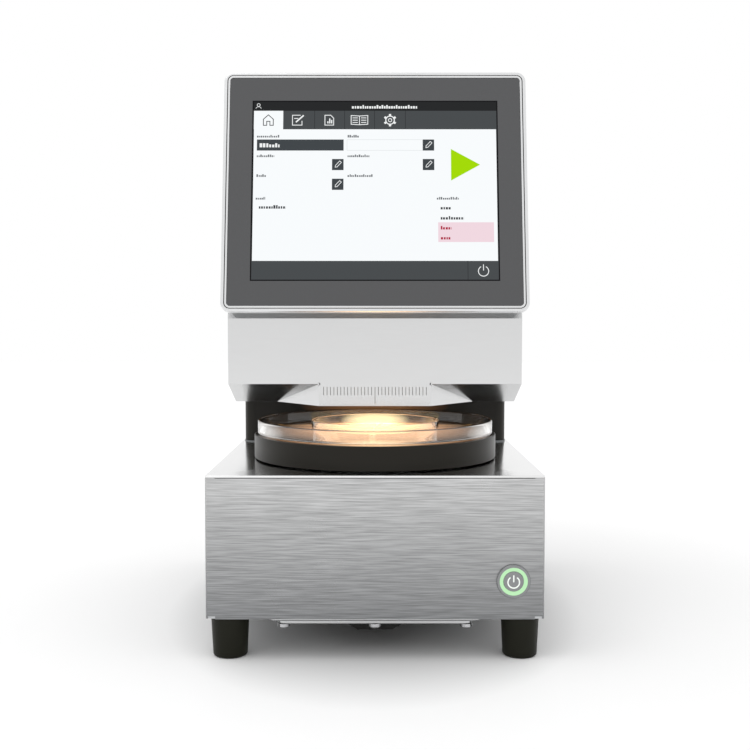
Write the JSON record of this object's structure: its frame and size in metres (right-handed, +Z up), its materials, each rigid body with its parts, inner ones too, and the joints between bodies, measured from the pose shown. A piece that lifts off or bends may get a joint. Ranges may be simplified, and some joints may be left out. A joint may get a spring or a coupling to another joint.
{
  "type": "near-infrared analyzer",
  "caption": "Benchtop near-infrared analyzer: steel base on four feet, glass dishes on a turntable, column, overhanging head with a tilted touch display, lit power button.",
  "frame": {"origin": "on the bench, under the middle of the machine's bounding box", "axes": "+X to the machine's right as seen from the front, -Y towards the user, +Z up"},
  "size_m": [0.306, 0.405, 0.5529],
  "materials": {
    "brushed_stainless": "satin stainless sheet with a fine horizontal grain",
    "dark_coating": "smooth satin olive-black powder coat",
    "foot_plastic": "black moulded foot, matt",
    "black_plastic": "black moulded plastic, fine grain",
    "clear_glass": "clear polished glass",
    "frame_aluminium": "bead-blasted silver anodised aluminium",
    "cast_aluminium": "machined aluminium",
    "display_face": "dark grey printed cover glass over a lit panel",
    "zinc_sheet": "zinc-plated sheet",
    "machined_steel": "turned and polished steel",
    "green_light": "lit green diffuser ring",
    "button_metal": "satin metal button",
    "bearing_polymer": "plain polymer bearing liner",
    "white_ceramic": "matt white ceramic",
    "circuit_board": "green circuit board",
    "bronze_filter": "black jacket of the fibre bundle"
  },
  "bodies": {
    "housing": {"base_wrap": "brushed_stainless", "base_top_plate": "brushed_stainless", "base_floor": "zinc_sheet", "base_rear_panel": "brushed_stainless", "feet": "foot_plastic", "frame_posts": "zinc_sheet", "hatch_rim": "brushed_stainless", "hatch_cover": "brushed_stainless", "underside_screws": "machined_steel", "hatch_grip": "black_plastic", "bearing_liners": "bearing_polymer", "bearing_housing": "cast_aluminium", "inner_fasteners": "machined_steel", "drive_motor": "black_plastic", "motor_bracket": "zinc_sheet", "lamp_window": "clear_glass", "lamp_barrel": "dark_coating", "lamp_bridge": "zinc_sheet", "lamp_socket": "white_ceramic", "halogen_lamp": "clear_glass", "reflector": "cast_aluminium", "heat_sink": "cast_aluminium", "button_body": "button_metal", "button_light_ring": "green_light", "button_spring": "machined_steel", "button_switch": "black_plastic", "column_cover": "dark_coating", "column_trim": "frame_aluminium", "head_shell": "brushed_stainless", "head_rear_cover": "brushed_stainless", "head_floor": "brushed_stainless", "head_window": "clear_glass", "optics_deck": "zinc_sheet", "lens_barrel": "cast_aluminium", "collecting_lens": "clear_glass", "reference_motor": "black_plastic", "spectrometer": "cast_aluminium", "fibre_bundle": "bronze_filter", "display_frame": "frame_aluminium", "display_glass": "display_face", "lcd_panel": "black_plastic", "display_housing": "cast_aluminium", "display_gasket": "black_plastic", "controller_board": "circuit_board", "mains_inlet": "black_plastic", "rear_ports": "black_plastic", "power_supply": "zinc_sheet"},
    "turntable": {"turntable_ring": "dark_coating", "turntable_plate": "brushed_stainless", "rotor_hub": "cast_aluminium", "rotor_screws": "machined_steel", "bearing_ring": "cast_aluminium", "ring_gear": "black_plastic"},
    "sample_dish": {"sample_dish": "clear_glass"},
    "petri_dish": {"petri_dish": "clear_glass"},
    "pinion": {"pinion": "machined_steel", "motor_shaft": "machined_steel"},
    "power_cap": {"button_cap": "button_metal"},
    "reference_arm": {"reference_arm": "cast_aluminium", "reference_tile": "white_ceramic"}
  },
  "joints": [
    {"name": "turntable_spin", "type": "hinge", "parent": "housing", "child": "turntable", "pos_m": [0, -0.0675, 0.17], "axis": [0, 0, 1], "continuous": true},
    {"name": "dish_lift", "type": "slide", "parent": "turntable", "child": "sample_dish", "axis": [0, 0, 1], "range_m": [0, 0.005]},
    {"name": "petri_lift", "type": "slide", "parent": "sample_dish", "child": "petri_dish", "axis": [0, 0, 1], "range_m": [0, 0.005]},
    {"name": "pinion_spin", "type": "hinge", "parent": "housing", "child": "pinion", "pos_m": [0, 0.0181, 0.135], "axis": [0, 0, 1], "continuous": true},
    {"name": "power_button_press", "type": "slide", "parent": "housing", "child": "power_cap", "axis": [0, 1, 0], "range_m": [0, 0.002], "stiffness_N_per_m": 900, "springref_m": -0.002, "deforming": ["button_spring"]},
    {"name": "reference_swing", "type": "hinge", "parent": "housing", "child": "reference_arm", "pos_m": [0.062, 0.04, 0.224], "axis": [0, 0, 1], "range_deg": [0, 90]}
  ],
  "couplings": [
    {"joint": "pinion_spin", "follows": "turntable_spin", "ratio": -5.3333}
  ]
}
